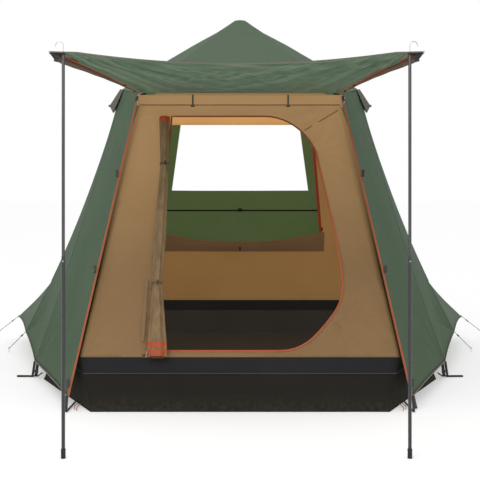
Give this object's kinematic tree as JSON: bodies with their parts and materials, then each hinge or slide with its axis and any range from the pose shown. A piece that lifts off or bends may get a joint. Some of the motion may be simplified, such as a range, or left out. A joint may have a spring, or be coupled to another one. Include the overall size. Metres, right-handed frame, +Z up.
{
  "type": "camping tent",
  "caption": "Cabin tent with a pyramid roof, pegged-out fly, inner tent with tied-back door, groundsheet tub and a front awning on two telescopic poles.",
  "frame": {"origin": "centre of the groundsheet's underside, on the ground", "axes": "+Z up, +X to the right of someone facing the door, +Y from the front (awning) to the back"},
  "size_m": [3.888, 3.5202, 2.3694],
  "materials": {
    "fly_cloth": "matte",
    "inner_cloth": "matte",
    "tub_sheet": "matte",
    "orange_tape": "matte",
    "hood_cloth": "matte",
    "webbing": "matte",
    "rope": "matte",
    "steel_tube": "satin",
    "bright_steel": "satin",
    "black_resin": "satin",
    "black_rubber": "matte"
  },
  "bodies": {
    "root": {"roof_hub": "black_resin", "roof_pole_front_left": "steel_tube", "roof_pole_front_right": "steel_tube", "roof_pole_back_left": "steel_tube", "roof_pole_back_right": "steel_tube", "eave_elbow_front_left": "black_resin", "eave_elbow_front_right": "black_resin", "eave_elbow_back_left": "black_resin", "eave_elbow_back_right": "black_resin", "leg_front_left": "steel_tube", "leg_front_right": "steel_tube", "leg_back_left": "steel_tube", "leg_back_right": "steel_tube", "fly_roof_front": "fly_cloth", "fly_roof_back": "fly_cloth", "fly_roof_left": "fly_cloth", "fly_roof_right": "fly_cloth", "fly_back": "fly_cloth", "fly_front_gore_left": "fly_cloth", "fly_front_gore_right": "fly_cloth", "fly_side_gore_left": "fly_cloth", "fly_side_gore_right": "fly_cloth", "fly_rear_gore_left": "fly_cloth", "fly_rear_gore_right": "fly_cloth", "eave_hood_left": "hood_cloth", "eave_hood_right": "hood_cloth", "pole_lower_left": "steel_tube", "pole_lower_right": "steel_tube", "pole_foot_left": "black_rubber", "pole_foot_right": "black_rubber", "inner_front_wall": "inner_cloth", "inner_back_wall": "inner_cloth", "inner_wall_left": "inner_cloth", "inner_wall_right": "inner_cloth", "inner_front_corner_left": "inner_cloth", "inner_front_corner_right": "inner_cloth", "inner_back_corner_left": "inner_cloth", "inner_back_corner_right": "inner_cloth", "inner_ceiling": "inner_cloth", "groundsheet_tub": "tub_sheet", "door_roll": "inner_cloth", "rear_swag": "inner_cloth", "rear_guy_line_left": "rope", "rear_guy_line_right": "rope", "side_guy_line_left": "rope", "side_guy_line_right": "rope", "rear_peg_left": "bright_steel", "rear_peg_right": "bright_steel", "side_peg_left": "bright_steel", "side_peg_right": "bright_steel", "corner_strap_left": "webbing", "corner_strap_right": "webbing"},
    "left_pole": {"pole_upper_left": "steel_tube"},
    "right_pole": {"pole_upper_right": "steel_tube"},
    "awning": {"awning": "fly_cloth", "pole_hook_left": "bright_steel", "pole_hook_right": "bright_steel"},
    "left_rear_slider": {"rear_slider_left": "black_resin"},
    "right_rear_slider": {"rear_slider_right": "black_resin"},
    "door_slider": {"door_slider": "black_resin"}
  },
  "joints": [
    {"name": "left_pole_slide", "type": "slide", "parent": "root", "child": "left_pole", "axis": [0, 0, 1], "range_m": [-0.3, 0]},
    {"name": "right_pole_slide", "type": "slide", "parent": "root", "child": "right_pole", "axis": [0, 0, 1], "range_m": [-0.3, 0]},
    {"name": "awning_tilt", "type": "hinge", "parent": "root", "child": "awning", "pos_m": [0, -0.56, 1.825], "axis": [-1, 0, 0], "range_deg": [-10.7, 0]},
    {"name": "left_rear_zip", "type": "slide", "parent": "root", "child": "left_rear_slider", "axis": [0.1056, -0.3996, 0.9106], "range_m": [0, 0.83]},
    {"name": "right_rear_zip", "type": "slide", "parent": "root", "child": "right_rear_slider", "axis": [-0.1056, -0.3996, 0.9106], "range_m": [0, 0.83]},
    {"name": "door_zip", "type": "slide", "parent": "root", "child": "door_slider", "axis": [1, 0, 0], "range_m": [0, 0.7]}
  ],
  "couplings": [
    {"joint": "right_pole_slide", "follows": "left_pole_slide", "ratio": 1},
    {"joint": "awning_tilt", "follows": "left_pole_slide", "rad_per_m": 0.62}
  ]
}
